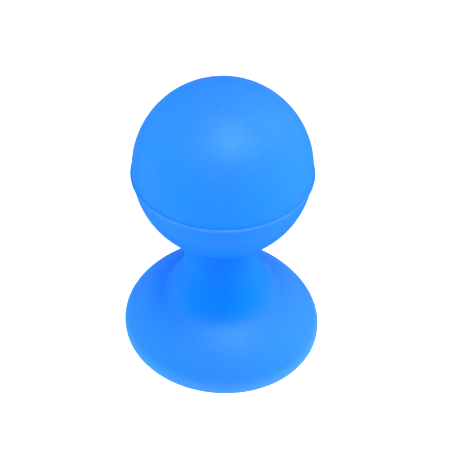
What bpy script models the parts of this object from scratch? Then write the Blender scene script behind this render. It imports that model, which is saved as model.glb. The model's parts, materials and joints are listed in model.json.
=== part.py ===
"""Suction cup ball stand: a hollow ball on a short bending neck above a bell-shaped suction cup.

All of it is one colour of soft silicone rubber. The real object is two mouldings, bonded round the
ball's widest line: a lower one with the cup, the neck and the lower half of the ball, and a dome.
The lower moulding bends, so it is modelled here as the zones that move against each other.
Every node is a closed turned solid about the Z axis. Metres, +Z up, the cup's face on z = 0.
"""

import math

import bmesh
import bpy
import numpy as np

# Driving dimensions
LIP_RADIUS = 0.0200
LIP_EDGE = 0.0008
SEALING_FACE_WIDTH = 0.0016
BELL_RISE = 0.0099
BELL_POWER = 3
CAVITY_RISE = 0.0063
NECK_RADIUS = 0.0073
BALL_CENTRE = 0.0394
DOME_RADIUS = 0.0159
BOWL_RADIUS = 0.01584
RIM_RADIUS = 0.0162
RIM_FLARE_HEIGHT = 0.0024
SHELL_THICKNESS = 0.0030

# Lap joint between the two halves of the ball
SPIGOT_RADIUS = 0.0141
SPIGOT_DEPTH = 0.0017

# The neck's flared root: a steep cone, rounded into the straight neck above and the bell below
FLARE_TOP = 0.0164
FLARE_SLOPE = 0.417
FLARE_BLEND = 0.0018
FLARE_FOOT_RADIUS = 0.01195
FLARE_FOOT_REACH = 0.0022

# Where the flexible moulding is divided into zones, and the clearance between solids
GAP = 0.0003
LIP_INNER_RADIUS = 0.0176
HUB_RADIUS = 0.0110
HUB_TOP = 0.0120
WAIST_BOTTOM = 0.0160
WAIST_TOP = 0.0215
BEND_CENTRE = 0.0190

SEGMENTS = 48
SHARP_ANGLE = math.radians(40)

SILICONE_BLUE = (0.043, 0.290, 0.980, 1.0)
SILICONE_ROUGHNESS = 0.55


def clear_scene():
    for item in list(bpy.data.objects):
        bpy.data.objects.remove(item)


def silicone(name):
    material = bpy.data.materials.new(name)
    material.use_nodes = True
    shader = material.node_tree.nodes["Principled BSDF"]
    shader.inputs["Base Color"].default_value = SILICONE_BLUE
    shader.inputs["Roughness"].default_value = SILICONE_ROUGHNESS
    shader.inputs["Metallic"].default_value = 0.0
    return material


def steps(start, end, count):
    """count + 1 values from start to end."""
    return [start + (end - start) * i / count for i in range(count + 1)]


def bell_height(radius):
    """The cup's outer surface: steep at the lip, nearly level near the neck."""
    return LIP_EDGE + BELL_RISE * (1 - (radius / LIP_RADIUS) ** BELL_POWER)


def bell_slope(radius):
    """How fast the cup's outer surface falls outwards."""
    return BELL_RISE * BELL_POWER * radius ** (BELL_POWER - 1) / LIP_RADIUS**BELL_POWER


def cavity_height(radius):
    """The cup's hollow underside, which meets the flat sealing face."""
    edge = LIP_RADIUS - SEALING_FACE_WIDTH
    return CAVITY_RISE * (1 - (radius / edge) ** BELL_POWER)


def rounded_corner(start, corner, end, count):
    """A bend from start to end, tangent to both lines through corner."""
    t = np.linspace(0, 1, count)[:, None]
    return start * (1 - t) ** 2 + corner * 2 * t * (1 - t) + end * t**2


def flare_line():
    """The neck's side from its straight part down to the bell, as rows of (radius, height)."""
    cone = np.array((FLARE_SLOPE, -1)) / math.hypot(FLARE_SLOPE, 1)
    top = np.array((NECK_RADIUS, FLARE_TOP))
    foot = np.array((FLARE_FOOT_RADIUS, bell_height(FLARE_FOOT_RADIUS)))
    slope = bell_slope(FLARE_FOOT_RADIUS)
    across = (foot[1] + slope * (foot[0] - top[0]) - top[1]) / (slope - 1 / FLARE_SLOPE)
    corner = top + np.array((across, -across / FLARE_SLOPE))
    upper = rounded_corner(top + np.array((0, FLARE_BLEND)), top, top + cone * FLARE_BLEND, 12)
    lower = rounded_corner(corner - cone * FLARE_FOOT_REACH, corner, foot, 16)
    return np.vstack((upper, lower))


def flare_radius(height):
    line = flare_line()[::-1]
    return float(np.interp(height, line[:, 1], line[:, 0]))


def flare_height(radius):
    line = flare_line()
    return float(np.interp(radius, line[:, 0], line[:, 1]))


def sphere_arc(radius, angle_start, angle_end, count):
    """Points (radius, height) on a sphere about the ball's centre, by angle above its equator."""
    return [
        (radius * math.cos(a), BALL_CENTRE + radius * math.sin(a))
        for a in steps(angle_start, angle_end, count)
    ]


def turned(name, outline, body_origin):
    """Spins a closed outline of (radius, height) points about Z into one solid.

    The outline runs anticlockwise, with the axis on its left: up the outside and down the inside.
    A point on the axis becomes a single vertex. The object's origin is put at body_origin.
    """
    mesh = bpy.data.meshes.new(name)
    shape = bmesh.new()
    rings = []
    for radius, height in outline:
        z = height - body_origin
        if radius < 1e-9:
            rings.append([shape.verts.new((0, 0, z))])
            continue
        angles = [2 * math.pi * i / SEGMENTS for i in range(SEGMENTS)]
        rings.append([shape.verts.new((radius * math.cos(a), radius * math.sin(a), z)) for a in angles])
    for low, high in zip(rings, rings[1:] + rings[:1]):
        for i in range(SEGMENTS):
            j = (i + 1) % SEGMENTS
            corners = [low[i % len(low)], low[j % len(low)], high[j % len(high)], high[i % len(high)]]
            corners = list(dict.fromkeys(corners))
            if len(corners) > 2:
                shape.faces.new(corners)
    bmesh.ops.recalc_face_normals(shape, faces=shape.faces)
    shape.to_mesh(mesh)
    shape.free()
    mesh.shade_smooth()
    mesh.set_sharp_from_angle(angle=SHARP_ANGLE)
    mesh.materials.append(silicone(name))
    item = bpy.data.objects.new(name, mesh)
    item.location = (0, 0, body_origin)
    bpy.context.scene.collection.objects.link(item)
    return item


def sealing_lip():
    """The thin edge that meets the glass, with its flat sealing face."""
    outer = [(r, bell_height(r)) for r in steps(LIP_RADIUS, LIP_INNER_RADIUS, 4)]
    inner = [(r, cavity_height(r)) for r in steps(LIP_INNER_RADIUS, LIP_RADIUS - SEALING_FACE_WIDTH, 2)]
    return turned("sealing_lip", [(LIP_RADIUS, 0)] + outer + inner, 0)


def cup_skirt():
    """The wall that flattens when the cup is pressed on."""
    edge = LIP_INNER_RADIUS - GAP
    start = HUB_RADIUS + GAP
    outer = [(r, bell_height(r)) for r in steps(edge, FLARE_FOOT_RADIUS, 6)]
    top = [(r, flare_height(r)) for r in steps(FLARE_FOOT_RADIUS, start, 2)][1:]
    inner = [(r, cavity_height(r)) for r in steps(start, edge, 6)]
    return turned("cup_skirt", outer + top + inner, 0)


def cup_hub():
    """The thick middle of the cup, below the neck."""
    outer = [(flare_radius(z), z) for z in steps(flare_height(HUB_RADIUS), HUB_TOP, 6)]
    under = [(r, cavity_height(r)) for r in steps(0, HUB_RADIUS, 5)]
    return turned("cup_hub", outer + [(0, HUB_TOP)] + under, 0)


def neck_lower():
    """The neck's flared root, which bends above the hub."""
    bottom = HUB_TOP + GAP
    top = WAIST_BOTTOM - GAP
    outer = [(flare_radius(z), z) for z in steps(bottom, top, 4)]
    return turned("neck_lower", outer + [(0, top), (0, bottom)], 0)


def neck_waist():
    """The slimmest part of the neck, about whose middle the ball bends both ways."""
    straight_from = FLARE_TOP + FLARE_BLEND
    outer = [(flare_radius(z), z) for z in steps(WAIST_BOTTOM, straight_from, 4)]
    outer += [(NECK_RADIUS, WAIST_TOP)]
    return turned("neck_waist", outer + [(0, WAIST_TOP), (0, WAIST_BOTTOM)], BEND_CENTRE)


def neck_upper():
    """The neck's top, hollowed to fit under the ball."""
    bottom = WAIST_TOP + GAP
    seat = BOWL_RADIUS + GAP
    side = -math.acos(NECK_RADIUS / seat)
    under = sphere_arc(seat, side, -math.pi / 2, 5)
    return turned("neck_upper", [(NECK_RADIUS, bottom)] + under + [(0, bottom)], BEND_CENTRE)


def ball_bowl():
    """The lower half of the ball, with the rim that stands proud and the rebate for the dome."""
    rim_angle = -math.asin(RIM_FLARE_HEIGHT / BOWL_RADIUS)
    outer = sphere_arc(BOWL_RADIUS, -math.pi / 2, rim_angle, 14)
    rebate = SPIGOT_RADIUS + GAP
    floor = BALL_CENTRE - SPIGOT_DEPTH - GAP
    cavity = BOWL_RADIUS - SHELL_THICKNESS
    edge_angle = -math.asin((BALL_CENTRE - floor) / cavity)
    inner = sphere_arc(cavity, edge_angle, -math.pi / 2, 10)
    rim = [(RIM_RADIUS, BALL_CENTRE), (rebate, BALL_CENTRE), (rebate, floor)]
    return turned("ball_bowl", outer + rim + inner, BEND_CENTRE)


def ball_dome():
    """The upper half of the ball, whose spigot sits inside the bowl's rim."""
    shoulder = BALL_CENTRE + GAP
    outer = sphere_arc(DOME_RADIUS, math.asin(GAP / DOME_RADIUS), math.pi / 2, 15)
    cavity = DOME_RADIUS - SHELL_THICKNESS
    inner = sphere_arc(cavity, math.pi / 2, 0, 11)
    tip = BALL_CENTRE - SPIGOT_DEPTH
    foot = [(cavity, tip), (SPIGOT_RADIUS, tip), (SPIGOT_RADIUS, shoulder)]
    return turned("ball_dome", outer + inner + foot, BEND_CENTRE)


def main():
    clear_scene()
    for build in (
        sealing_lip,
        cup_skirt,
        cup_hub,
        neck_lower,
        neck_waist,
        neck_upper,
        ball_bowl,
        ball_dome,
    ):
        build()


main()
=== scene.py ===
"""Looks of the suction cup ball stand: one-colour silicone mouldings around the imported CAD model."""

import json
import math

import bmesh
import bpy
from mathutils import Matrix, Vector


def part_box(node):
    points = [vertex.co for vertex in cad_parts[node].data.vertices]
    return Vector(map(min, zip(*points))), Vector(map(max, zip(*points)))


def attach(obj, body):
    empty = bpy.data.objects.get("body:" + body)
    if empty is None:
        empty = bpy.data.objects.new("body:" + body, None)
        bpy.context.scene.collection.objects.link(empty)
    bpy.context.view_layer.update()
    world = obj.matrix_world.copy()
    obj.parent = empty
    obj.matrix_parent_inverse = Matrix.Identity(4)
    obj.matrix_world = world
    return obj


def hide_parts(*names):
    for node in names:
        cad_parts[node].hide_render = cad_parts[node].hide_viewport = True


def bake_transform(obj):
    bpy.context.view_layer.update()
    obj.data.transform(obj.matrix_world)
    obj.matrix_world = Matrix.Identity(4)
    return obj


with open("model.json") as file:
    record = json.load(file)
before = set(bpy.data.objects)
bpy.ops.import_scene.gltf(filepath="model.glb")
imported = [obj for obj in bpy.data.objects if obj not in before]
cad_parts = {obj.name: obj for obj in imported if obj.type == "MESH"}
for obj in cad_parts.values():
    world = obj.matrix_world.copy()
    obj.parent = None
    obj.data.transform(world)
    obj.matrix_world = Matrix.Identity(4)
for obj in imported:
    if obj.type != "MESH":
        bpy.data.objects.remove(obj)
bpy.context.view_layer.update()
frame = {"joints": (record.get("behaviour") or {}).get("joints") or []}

MM = 0.001

# ---------------------------------------------------------------- sizes, read from the frame
LIP_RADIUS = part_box("sealing_lip")[1].x
NECK_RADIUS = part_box("neck_upper")[1].x
RIM_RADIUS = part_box("ball_bowl")[1].x
DOME_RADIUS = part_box("ball_dome")[1].x
SEAM_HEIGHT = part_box("ball_bowl")[1].z
BOWL_RADIUS = SEAM_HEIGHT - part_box("ball_bowl")[0].z
SPIGOT_DEPTH = SEAM_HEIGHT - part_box("ball_dome")[0].z
NECK_SPLIT = (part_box("cup_hub")[1].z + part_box("neck_lower")[0].z) / 2
JOINTS = {j["name"]: j for j in frame["joints"]}
BEND_HEIGHT = JOINTS["neck_bend_x"]["pos_m"][2]
BALL_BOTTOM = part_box("ball_bowl")[0].z

# ---------------------------------------------------------------- the surface's own sizes
LIP_EDGE = 0.8 * MM
LIP_BOTTOM_ROUND = 0.28 * MM
LIP_TOP_ROUND = 0.25 * MM
LIP_TOP_CENTRE_DROP = 0.6 * LIP_TOP_ROUND
BELL_EDGE_INSET = 0.75 * LIP_TOP_ROUND
SEALING_FACE_WIDTH = 1.6 * MM
BELL_RISE = 9.9 * MM
BELL_POWER = 3
CAVITY_RISE = 6.3 * MM
FLARE_TOP = 16.4 * MM
FLARE_SLOPE = 0.417
FLARE_BLEND = 1.8 * MM
FLARE_FOOT_RADIUS = 11.95 * MM
FLARE_FOOT_REACH = 2.2 * MM
BALL_FILLET = 0.7 * MM
NECK_TUCK = 0.8 * MM
SHELL_THICKNESS = 3.0 * MM
LAP_CLEARANCE = 0.1 * MM
RIM_FLARE_HEIGHT = 1.8 * MM
RIM_ROUND = 0.12 * MM
GLUE_FILLET = 0.08 * MM
CREASE_WIDTH = 0.012 * MM
CREASE_DEPTH = 0.06 * MM
CREASE_OVERLAP = 0.02 * MM
LEAST_SPACING = 0.05 * MM
ON_AXIS = 1e-9
TURN_STEPS = 180
SHARP_ANGLE = math.radians(50)

# The soft lip's departure from round, in mm: (waves round the lip, cosine part, sine part)
LIP_WAVES = ((0, 0.14, 0), (1, -0.03, 0.34), (2, -0.12, -0.30), (3, -0.03, -0.16))

# Where painted shade darkens the hollow under the ball and dulls its shine, and where a painted highlight
# makes the thin lip and the bowl's rim paler
SHADE_RADIUS = 8.8 * MM
SHADE_FADE = 2.4 * MM
SHADE_TOP = BALL_BOTTOM + 1.2 * MM
SHADE_TOP_FADE = 1.0 * MM
LIP_HIGHLIGHT_FROM = 18.8 * MM
RIM_PALE_UNTIL = 0.25 * MM
RIM_PALE_END = 0.7 * MM
RIM_PALENESS = 0.5
TOLERANCE = 0.01 * MM


def steps(start, end, count):
    """count + 1 values from start to end."""
    return [start + (end - start) * i / count for i in range(count + 1)]


def smooth(x, low, high):
    """0 below low, 1 above high, and a smooth rise between."""
    t = min(1.0, max(0.0, (x - low) / (high - low)))
    return t * t * (3 - 2 * t)


# ---------------------------------------------------------------- outlines, as (radius, height)
def bell_height(radius):
    """The cup's outer surface: steep at the lip, nearly level near the neck."""
    return LIP_EDGE + BELL_RISE * (1 - (radius / LIP_RADIUS) ** BELL_POWER)


def bell_slope(radius):
    return BELL_RISE * BELL_POWER * radius ** (BELL_POWER - 1) / LIP_RADIUS**BELL_POWER


def cavity_height(radius):
    """The cup's hollow underside, which meets the flat sealing face."""
    edge = LIP_RADIUS - SEALING_FACE_WIDTH
    return CAVITY_RISE * (1 - (radius / edge) ** BELL_POWER)


def curve(start, corner, end, count):
    """A smooth bend from start to end, tangent to both lines through corner."""
    return [start * (1 - t) ** 2 + corner * 2 * t * (1 - t) + end * t**2 for t in steps(0, 1, count)]


def flare_points():
    """The neck's side below the bend: straight, then a steep cone, then a fillet onto the bell."""
    cone = Vector((FLARE_SLOPE, -1)).normalized()
    top = Vector((NECK_RADIUS, FLARE_TOP))
    foot = Vector((FLARE_FOOT_RADIUS, bell_height(FLARE_FOOT_RADIUS)))
    slope = bell_slope(FLARE_FOOT_RADIUS)
    across = (foot.y + slope * (foot.x - top.x) - top.y) / (-1 / FLARE_SLOPE + slope)
    corner = top + Vector((across, -across / FLARE_SLOPE))
    upper = curve(top + Vector((0, FLARE_BLEND)), top, top + cone * FLARE_BLEND, 16)
    lower = curve(corner - cone * FLARE_FOOT_REACH, corner, foot, 24)
    straight = [upper[-1].lerp(lower[0], t) for t in steps(0, 1, 10)][1:-1]
    return upper + straight + lower


def point_at_height(points, height):
    """Where a falling line of points passes the given height."""
    for high, low in zip(points, points[1:]):
        if low.y <= height <= high.y:
            return high.lerp(low, (high.y - height) / (high.y - low.y))


def arc(centre, radius, start, end, count):
    """Points on a circle of the outline's own plane, by angle in degrees."""
    return [
        centre + Vector((math.cos(a), math.sin(a))) * radius
        for a in (math.radians(d) for d in steps(start, end, count))
    ]


def ball_arc(radius, start, end, count):
    return arc(Vector((0, SEAM_HEIGHT)), radius, start, end, count)


def foot_outline():
    """Lip, bell, hollow and the start of the neck. Returns the points, and where the hollow's begin."""
    lip = arc(Vector((LIP_RADIUS - LIP_BOTTOM_ROUND, LIP_BOTTOM_ROUND)), LIP_BOTTOM_ROUND, -90, 0, 5)
    top_centre = Vector((LIP_RADIUS - LIP_TOP_ROUND, LIP_EDGE - LIP_TOP_CENTRE_DROP))
    top_angle = 90 - math.degrees(math.atan(bell_slope(LIP_RADIUS)))
    lip += arc(top_centre, LIP_TOP_ROUND, 0, top_angle, 5)
    bell_edge = LIP_RADIUS - BELL_EDGE_INSET
    bell = [Vector((r, bell_height(r))) for r in steps(bell_edge, FLARE_FOOT_RADIUS, 34)]
    flare = flare_points()
    rise = [p for p in reversed(flare[:-1]) if p.y < NECK_SPLIT - LEAST_SPACING]
    rise.append(point_at_height(flare, NECK_SPLIT))
    outside = lip + bell + rise
    under = [Vector((r, cavity_height(r))) for r in steps(0, LIP_RADIUS - SEALING_FACE_WIDTH, 36)]
    return outside + [Vector((0, NECK_SPLIT))] + under, len(outside) + 1


def neck_root_outline():
    """The neck's flared root, from the hub up to the bend."""
    flare = flare_points()
    side = [point_at_height(flare, NECK_SPLIT)]
    side += [p for p in reversed(flare) if p.y > NECK_SPLIT + LEAST_SPACING]
    side += [Vector((NECK_RADIUS, z)) for z in steps(side[-1].y, BEND_HEIGHT, 3)][1:]
    return side + [Vector((0, BEND_HEIGHT)), Vector((0, NECK_SPLIT))]


def neck_top_outline():
    """The neck above the bend, with a small fillet under the ball, tucked into the bowl's wall."""
    reach = BOWL_RADIUS + BALL_FILLET
    centre_radius = NECK_RADIUS + BALL_FILLET
    centre = Vector((centre_radius, SEAM_HEIGHT - math.sqrt(reach**2 - centre_radius**2)))
    touch = math.degrees(math.atan2(SEAM_HEIGHT - centre.y, -centre_radius))
    side = [Vector((NECK_RADIUS, z)) for z in steps(BEND_HEIGHT, centre.y, 14)]
    side += arc(centre, BALL_FILLET, 180, touch, 8)[1:]
    ball_centre = Vector((0, SEAM_HEIGHT))
    tuck = (side[-1] - ball_centre) * (1 - NECK_TUCK / BOWL_RADIUS) + ball_centre
    return side + [tuck, Vector((0, tuck.y)), Vector((0, BEND_HEIGHT))]


def bowl_outline():
    """The ball's lower half: its rim flares out to the ledge that stands proud of the dome."""
    def outer_radius(drop):
        flare = (RIM_RADIUS - BOWL_RADIUS) * (1 - smooth(drop, 0, RIM_FLARE_HEIGHT))
        return math.sqrt(max(0.0, BOWL_RADIUS**2 - drop**2)) + flare

    start = math.degrees(math.asin(RIM_FLARE_HEIGHT / BOWL_RADIUS))
    outside = ball_arc(BOWL_RADIUS, -90, -start, 64)
    outside += [
        Vector((outer_radius(drop), SEAM_HEIGHT - drop))
        for drop in steps(RIM_FLARE_HEIGHT, RIM_ROUND, 14)
    ][1:]
    round_centre = Vector((outer_radius(RIM_ROUND) - RIM_ROUND, SEAM_HEIGHT - RIM_ROUND))
    outside += arc(round_centre, RIM_ROUND, 0, 90, 5)[1:]
    inner_edge = DOME_RADIUS + GLUE_FILLET + CREASE_WIDTH
    floor = SEAM_HEIGHT - CREASE_DEPTH
    outside += [Vector((inner_edge, SEAM_HEIGHT)), Vector((inner_edge, floor))]
    rebate = DOME_RADIUS - SHELL_THICKNESS / 2
    outside += [Vector((rebate, floor)), Vector((rebate, SEAM_HEIGHT - SPIGOT_DEPTH - LAP_CLEARANCE))]
    cavity = BOWL_RADIUS - SHELL_THICKNESS
    edge = -math.degrees(math.asin((SPIGOT_DEPTH + LAP_CLEARANCE) / cavity))
    return outside + ball_arc(cavity, edge, -90, 30)


def dome_outline():
    """The ball's upper half, which runs on down into the crease behind the bowl's rim."""
    shoulder = SEAM_HEIGHT - CREASE_DEPTH + CREASE_OVERLAP
    foot = Vector((DOME_RADIUS + GLUE_FILLET, SEAM_HEIGHT))
    first = math.degrees(math.asin(2 * GLUE_FILLET / DOME_RADIUS))
    side = ball_arc(DOME_RADIUS, first, 90, 80)
    fillet = curve(foot, Vector((DOME_RADIUS, SEAM_HEIGHT)), side[0], 5)
    outside = [Vector((foot.x, shoulder))] + fillet + side[1:]
    cavity = DOME_RADIUS - SHELL_THICKNESS
    inside = ball_arc(cavity, 90, 0, 30)
    spigot = DOME_RADIUS - SHELL_THICKNESS / 2 - LAP_CLEARANCE / 2
    tip = SEAM_HEIGHT - SPIGOT_DEPTH
    return outside + inside + [Vector((cavity, tip)), Vector((spigot, tip)), Vector((spigot, shoulder))]


# ---------------------------------------------------------------- turning outlines into meshes
ANGLES = [2 * math.pi * i / TURN_STEPS for i in range(TURN_STEPS)]


def lip_ovality(angle):
    """How far the soft lip lies out of round, in metres."""
    return MM * sum(c * math.cos(n * angle) + s * math.sin(n * angle) for n, c, s in LIP_WAVES)


def hollow_shade(point):
    """1 in the hollow between the ball and the cup, which gets painted shade (a darker colour and less
    shine); 0 outside it.
    """
    below_ball = 1 - smooth(point.y, SHADE_TOP - SHADE_TOP_FADE, SHADE_TOP + SHADE_TOP_FADE)
    return below_ball * (1 - smooth(point.x, SHADE_RADIUS, SHADE_RADIUS + SHADE_FADE))


def rim_highlight(point):
    """Painted highlight: 1 at the cup's thin lip, RIM_PALENESS at the bowl's rim and 0 where the rubber
    is thick; it stands in for light through the thin lip and the bright rim edge.
    """
    at_lip = smooth(point.x, LIP_HIGHLIGHT_FROM, LIP_RADIUS)
    drop = SEAM_HEIGHT - point.y
    on_rim = point.x > DOME_RADIUS + LEAST_SPACING and drop > -TOLERANCE
    at_rim = 1 - smooth(drop, RIM_PALE_UNTIL, RIM_PALE_END) if on_rim else 0
    return max(at_lip, RIM_PALENESS * at_rim)


def turned(name, outline, materials, offset=None, hollow_from=None):
    """Spins a closed outline round Z into one solid. offset(point, angle) adds to each point's radius.

    The faces take the first material, and from the point hollow_from on the second.
    """
    mesh = bpy.data.meshes.new(name)
    shape = bmesh.new()
    painted_shade = shape.verts.layers.float.new("painted_shade")
    painted_highlight = shape.verts.layers.float.new("painted_highlight")
    rings = []
    for point in outline:
        if point.x < ON_AXIS:
            rings.append([shape.verts.new((0, 0, point.y))])
            continue
        ring = []
        for angle in ANGLES:
            radius = point.x + (offset(point, angle) if offset else 0)
            vertex = shape.verts.new((radius * math.cos(angle), radius * math.sin(angle), point.y))
            # Painted shade in the hollow under the ball
            vertex[painted_shade] = hollow_shade(point)
            # Painted highlight on the lip and the bowl's rim
            vertex[painted_highlight] = rim_highlight(point)
            ring.append(vertex)
        rings.append(ring)
    for row, (low, high) in enumerate(zip(rings, rings[1:] + rings[:1])):
        hollow = hollow_from is not None and row >= hollow_from
        for i in range(TURN_STEPS):
            j = (i + 1) % TURN_STEPS
            corners = [low[i % len(low)], low[j % len(low)], high[j % len(high)], high[i % len(high)]]
            corners = list(dict.fromkeys(corners))
            if len(corners) > 2:
                shape.faces.new(corners).material_index = int(hollow)
    bmesh.ops.recalc_face_normals(shape, faces=shape.faces)
    shape.to_mesh(mesh)
    shape.free()
    mesh.shade_smooth()
    mesh.set_sharp_from_angle(angle=SHARP_ANGLE)
    for material in materials:
        mesh.materials.append(material)
    item = bpy.data.objects.new(name, mesh)
    bpy.context.scene.collection.objects.link(item)
    return item


# ---------------------------------------------------------------- materials
# The darkest blue is painted shade for the hollow under the ball.
SHADED_BLUE = (0.0022, 0.158, 1.0, 1)
# A pale bloom, mottled like real bloom, whose strength on what faces up is painted top light.
BLOOM_AND_LIT_BLUE = (0.052, 0.183, 1.0, 1)
PALE_BLUE = (0.0006, 0.215, 1.0, 1)
# Painted highlight colour for the thin lip and the bowl's rim.
RIM_HIGHLIGHT_BLUE = (0.045, 0.230, 1.0, 1)
DUST = (0.30, 0.62, 1.0, 1)
GLOSS_TINT = (0.21, 1.0, 1.0, 1)
DUST_SPACING = 1.5 * MM
DUST_SHARE = 0.035
DUST_CORE = 0.04
DUST_EDGE = 0.09
DUST_STRENGTH = 0.35
GRAIN_SIZE = 0.30 * MM
GRAIN_HEIGHT = 0.010 * MM
CLOUD_SIZE = 2.6 * MM
BLOOM_BETWEEN_CLOUDS = 0.85
BLOOM_BETWEEN_GRAINS = 0.2
# How much of the painted top light is left on undersides.
TOP_LIGHT_ON_UNDERSIDES = 0.15
SPECKLE_STRENGTH = 0.55
NOISE_LOW = 0.3
NOISE_HIGH = 0.7
UNDERSIDE_Z = 0.05
UPPER_SIDE_Z = 0.75
REFRACTION = 1.33
# Less shine in the hollow under the ball: painted shade on its reflections.
SHADED_SHINE = 0.14
UNSHADED_SHINE = 0.56
ROUGHNESS_SPREAD = 0.03


def noise(tree, coordinates, feature, detail, roughness):
    """Noise whose blobs are about one feature across, in metres."""
    made = tree.nodes.new("ShaderNodeTexNoise")
    made.inputs["Scale"].default_value = 1 / feature
    made.inputs["Detail"].default_value = detail
    made.inputs["Roughness"].default_value = roughness
    tree.links.new(coordinates, made.inputs["Vector"])
    return made.outputs["Fac"]


def span(tree, value, low, high, to_low, to_high):
    """value from low..high, clamped and spread over to_low..to_high."""
    made = tree.nodes.new("ShaderNodeMapRange")
    made.inputs["From Min"].default_value = low
    made.inputs["From Max"].default_value = high
    made.inputs["To Min"].default_value = to_low
    made.inputs["To Max"].default_value = to_high
    tree.links.new(value, made.inputs["Value"])
    return made.outputs["Result"]


def math_node(tree, operation, first, second):
    made = tree.nodes.new("ShaderNodeMath")
    made.operation = operation
    for socket, value in zip(made.inputs, (first, second)):
        if isinstance(value, (int, float)):
            socket.default_value = value
        else:
            tree.links.new(value, socket)
    return made.outputs[0]


def blend_colour(tree, share, first, second):
    made = tree.nodes.new("ShaderNodeMix")
    made.data_type = "RGBA"
    tree.links.new(share, made.inputs["Factor"])
    for socket, value in zip((made.inputs["A"], made.inputs["B"]), (first, second)):
        if isinstance(value, tuple):
            socket.default_value = value
        else:
            tree.links.new(value, socket)
    return made.outputs["Result"]


def attribute(tree, name):
    made = tree.nodes.new("ShaderNodeAttribute")
    made.attribute_name = name
    return made.outputs["Fac"]


def dust(tree, coordinates):
    """DUST_STRENGTH on sparse grains of dust, each a fraction of a millimetre across, and 0 between."""
    cells = tree.nodes.new("ShaderNodeTexVoronoi")
    cells.inputs["Scale"].default_value = 1 / DUST_SPACING
    tree.links.new(coordinates, cells.inputs["Vector"])
    near = span(tree, cells.outputs["Distance"], DUST_CORE, DUST_EDGE, DUST_STRENGTH, 0)
    pick = tree.nodes.new("ShaderNodeSeparateColor")
    tree.links.new(cells.outputs["Color"], pick.inputs[0])
    chosen = math_node(tree, "GREATER_THAN", pick.outputs[0], 1 - DUST_SHARE)
    return math_node(tree, "MULTIPLY", near, chosen)


def silicone(name, roughness, bump_strength):
    """Silicone: fine grain, faint clouds, a pale mottled bloom whose strength on what faces up is painted
    top light, painted shade in the hollow under the ball, a painted highlight on the rims, and a few
    grains of dust.
    """
    material = bpy.data.materials.new(name)
    material.use_nodes = True
    tree = material.node_tree
    shader = tree.nodes["Principled BSDF"]
    texture = tree.nodes.new("ShaderNodeTexCoord")
    coordinates = texture.outputs["Object"]
    grain = noise(tree, coordinates, GRAIN_SIZE, 2, 0.7)
    clouds = noise(tree, coordinates, CLOUD_SIZE, 4, 0.6)

    # Everything outside the painted shade of the hollow under the ball.
    unshaded = math_node(tree, "SUBTRACT", 1, attribute(tree, "painted_shade"))
    cloudy = span(tree, clouds, NOISE_LOW, NOISE_HIGH, BLOOM_BETWEEN_CLOUDS, 1.0)
    grainy = span(tree, grain, NOISE_LOW, NOISE_HIGH, BLOOM_BETWEEN_GRAINS, 1.0)
    mottle = math_node(tree, "MULTIPLY", cloudy, grainy)
    facing = tree.nodes.new("ShaderNodeSeparateXYZ")
    tree.links.new(texture.outputs["Normal"], facing.inputs[0])
    # Painted top light: the bloom is strongest where the surface faces up and faint on undersides.
    top_light = span(tree, facing.outputs["Z"], UNDERSIDE_Z, UPPER_SIDE_Z, TOP_LIGHT_ON_UNDERSIDES, 1.0)
    bloom_and_light = math_node(tree, "MULTIPLY", math_node(tree, "MULTIPLY", unshaded, top_light), mottle)
    # Painted shade colour in the hollow, and bloom with painted top light elsewhere.
    colour = blend_colour(tree, bloom_and_light, SHADED_BLUE, BLOOM_AND_LIT_BLUE)
    speckle = span(tree, grain, NOISE_LOW, NOISE_HIGH, 0.0, SPECKLE_STRENGTH)
    colour = blend_colour(tree, speckle, colour, PALE_BLUE)
    # Painted highlight on the lip and the bowl's rim.
    colour = blend_colour(tree, attribute(tree, "painted_highlight"), colour, RIM_HIGHLIGHT_BLUE)
    specks = math_node(tree, "MULTIPLY", dust(tree, coordinates), unshaded)
    colour = blend_colour(tree, specks, colour, DUST)
    tree.links.new(colour, shader.inputs["Base Color"])

    shader.inputs["IOR"].default_value = REFRACTION
    # Painted shade: less shine in the hollow under the ball.
    shine = span(tree, unshaded, 0, 1, SHADED_SHINE, UNSHADED_SHINE)
    tree.links.new(shine, shader.inputs["Specular IOR Level"])
    shader.inputs["Specular Tint"].default_value = GLOSS_TINT
    smoothest, roughest = roughness - ROUGHNESS_SPREAD, roughness + ROUGHNESS_SPREAD
    tree.links.new(span(tree, clouds, 0.25, 0.75, smoothest, roughest), shader.inputs["Roughness"])

    bump = tree.nodes.new("ShaderNodeBump")
    bump.inputs["Strength"].default_value = bump_strength
    bump.inputs["Distance"].default_value = GRAIN_HEIGHT
    tree.links.new(grain, bump.inputs["Height"])
    tree.links.new(bump.outputs["Normal"], shader.inputs["Normal"])
    return material


# ---------------------------------------------------------------- pieces
def soft_lip(point, angle):
    return lip_ovality(angle) * smooth(point.x, FLARE_FOOT_RADIUS, LIP_RADIUS)


MATTE = silicone("matte_silicone", roughness=0.43, bump_strength=0.6)
POLISHED = silicone("polished_silicone", roughness=0.16, bump_strength=0.1)

foot_points, hollow_start = foot_outline()
foot = turned("suction_foot", foot_points, [MATTE, POLISHED], soft_lip, hollow_start)
neck_root = turned("neck_root", neck_root_outline(), [MATTE])
neck_top = turned("neck_top", neck_top_outline(), [MATTE])
bowl = turned("bowl_shell", bowl_outline(), [MATTE])
dome = turned("dome_shell", dome_outline(), [MATTE])


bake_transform(foot)
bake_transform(neck_root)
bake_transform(neck_top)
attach(bowl, "ball")
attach(dome, "ball")
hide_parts("sealing_lip", "cup_skirt", "cup_hub")
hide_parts("neck_lower")
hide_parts("neck_waist", "neck_upper")
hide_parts("ball_bowl")
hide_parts("ball_dome")


# ---------------------------------------------------------------- floor, light and camera
REFLECTED_FLOOR = 0.28
ROOM_LIGHT = 0.10
ROOM_TINT = (0.06, 0.95, 1, 1)
HORIZON_BLUR = 0.02
WARM = (1.0, 0.52, 0.50)
COOL = (0.12, 1.0, 1.0)

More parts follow.
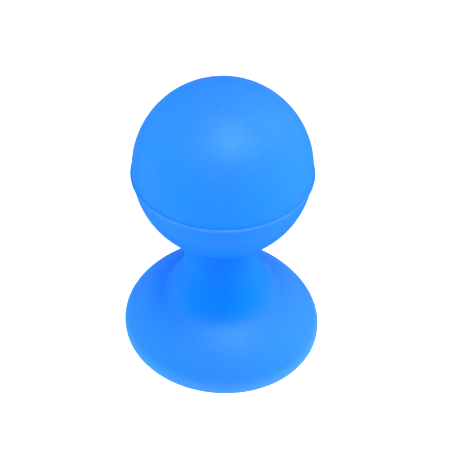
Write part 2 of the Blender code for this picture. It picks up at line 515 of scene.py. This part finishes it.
# Lamps: name, azimuth and elevation in degrees, distance and size in metres, watts, colour and
# whether they show in reflections
LAMPS = (
    ("overhead_lamp", 28, 71, 0.8, 0.5, 12.2, WARM, True),
    ("right_lamp", 110, 37, 0.8, 0.5, 1.6, WARM, True),
    ("left_lamp", 325, 55, 0.8, 0.5, 1.9, COOL, False),
    ("low_right_lamp", 95, 6, 0.8, 0.25, 4.0, COOL, False),
    ("low_left_lamp", 262, 6, 0.8, 0.25, 3.4, COOL, False),
    ("back_lamp", 180, 20, 0.8, 0.5, 1.0, COOL, False),
    ("ceiling_lamp", 0, 90, 0.9, 1.6, 2.8, COOL, False),
)
LAMP_AIM_HEIGHT = SEAM_HEIGHT * 0.6

CAMERA_PLACE = (0, -0.10683, 0.12527)
CAMERA_PITCH = 43.26
CAMERA_YAW = -0.67
CAMERA_ROLL = 0.98
SENSOR_WIDTH_MM = 36
LENS_MM = 61.36

NO_COLOUR = (0, 0, 0, 1)
WHITE = (1, 1, 1, 1)
PAPER_GREY = (0.5, 0.5, 0.5, 1)
PAPER_GLOW = 1.2
PAPER_GLOW_TINT = (0.85, 1, 1, 1)
FLOOR_SIZE = 4.0
BACKDROP_RADIUS = 1.6
BACKDROP_HEIGHT = 3.0
BACKDROP_LIGHT = 0.97


def glowing(name, colour, glow_tint, glow):
    """A dull paint that also gives off an even light."""
    paint = bpy.data.materials.new(name)
    paint.use_nodes = True
    shader = paint.node_tree.nodes["Principled BSDF"]
    shader.inputs["Base Color"].default_value = colour
    shader.inputs["Roughness"].default_value = 0.9
    shader.inputs["Specular IOR Level"].default_value = 0.0
    shader.inputs["Emission Color"].default_value = glow_tint
    shader.inputs["Emission Strength"].default_value = glow
    return paint


def make_floor():
    """White paper that glows, so the object's shadow doesn't show on it."""
    mesh = bpy.data.meshes.new("floor")
    half = FLOOR_SIZE / 2
    corners = [(-half, -half, 0), (half, -half, 0), (half, half, 0), (-half, half, 0)]
    mesh.from_pydata(corners, [], [(0, 1, 2, 3)])
    floor = bpy.data.objects.new("floor", mesh)
    bpy.context.scene.collection.objects.link(floor)
    mesh.materials.append(glowing("white_paper", PAPER_GREY, PAPER_GLOW_TINT, PAPER_GLOW))
    floor.visible_glossy = False


def make_backdrop():
    """A far pale wall for low views. Only the camera sees it, so it adds no light of its own."""
    mesh = bpy.data.meshes.new("backdrop")
    shape = bmesh.new()
    bmesh.ops.create_cone(
        shape,
        cap_ends=False,
        segments=96,
        radius1=BACKDROP_RADIUS,
        radius2=BACKDROP_RADIUS,
        depth=BACKDROP_HEIGHT,
    )
    shape.to_mesh(mesh)
    shape.free()
    wall = bpy.data.objects.new("backdrop", mesh)
    wall.location.z = BACKDROP_HEIGHT / 2
    bpy.context.scene.collection.objects.link(wall)
    mesh.materials.append(glowing("white_wall", NO_COLOUR, WHITE, BACKDROP_LIGHT))
    wall.visible_diffuse = False
    wall.visible_glossy = False
    wall.visible_shadow = False


def area_light(name, azimuth, elevation, distance, size, power, colour, glints):
    """A square soft light aimed at the object. Azimuth 0 is the camera's side, 90 is +X."""
    data = bpy.data.lights.new(name, "AREA")
    data.size = size
    data.energy = power
    data.color = colour
    lamp = bpy.data.objects.new(name, data)
    bpy.context.scene.collection.objects.link(lamp)
    a, e = math.radians(azimuth), math.radians(elevation)
    away = Vector((math.sin(a) * math.cos(e), -math.cos(a) * math.cos(e), math.sin(e)))
    lamp.location = Vector((0, 0, LAMP_AIM_HEIGHT)) + away * distance
    lamp.rotation_mode = "QUATERNION"
    lamp.rotation_quaternion = away.to_track_quat("Z", "Y")
    lamp.visible_glossy = glints
    lamp.visible_camera = False


def make_light():
    """Warm and cool lamps in a dim cool room. Reflections see a dull floor in place of the bright one."""
    world = bpy.data.worlds.new("studio")
    world.use_nodes = True
    tree = world.node_tree
    background = tree.nodes["Background"]
    direction = tree.nodes.new("ShaderNodeTexCoord").outputs["Generated"]
    split = tree.nodes.new("ShaderNodeSeparateXYZ")
    tree.links.new(direction, split.inputs[0])
    height = split.outputs["Z"]
    strength = span(tree, height, -HORIZON_BLUR, HORIZON_BLUR, REFLECTED_FLOOR, ROOM_LIGHT)
    tree.links.new(strength, background.inputs["Strength"])
    background.inputs["Color"].default_value = ROOM_TINT
    bpy.context.scene.world = world
    for lamp in LAMPS:
        area_light(*lamp)


def make_camera():
    """Looks 43 degrees down from 16 cm away, with a slight roll."""
    data = bpy.data.cameras.new("camera")
    data.sensor_width = SENSOR_WIDTH_MM
    data.lens = LENS_MM
    data.clip_start = 0.01
    camera = bpy.data.objects.new("camera", data)
    bpy.context.scene.collection.objects.link(camera)
    pitch, yaw, roll = (math.radians(angle) for angle in (CAMERA_PITCH, CAMERA_YAW, CAMERA_ROLL))
    back = Vector((math.sin(yaw) * math.cos(pitch), -math.cos(yaw) * math.cos(pitch), math.sin(pitch)))
    right = Vector((math.cos(yaw), math.sin(yaw), 0))
    up = back.cross(right)
    x_axis = right * math.cos(roll) + up * math.sin(roll)
    y_axis = up * math.cos(roll) - right * math.sin(roll)
    turn = Matrix((x_axis, y_axis, back)).transposed()
    camera.matrix_world = Matrix.Translation(CAMERA_PLACE) @ turn.to_4x4()
    bpy.context.scene.camera = camera


make_floor()
make_backdrop()
make_light()
make_camera()
bpy.context.scene.view_settings.view_transform = "Standard"
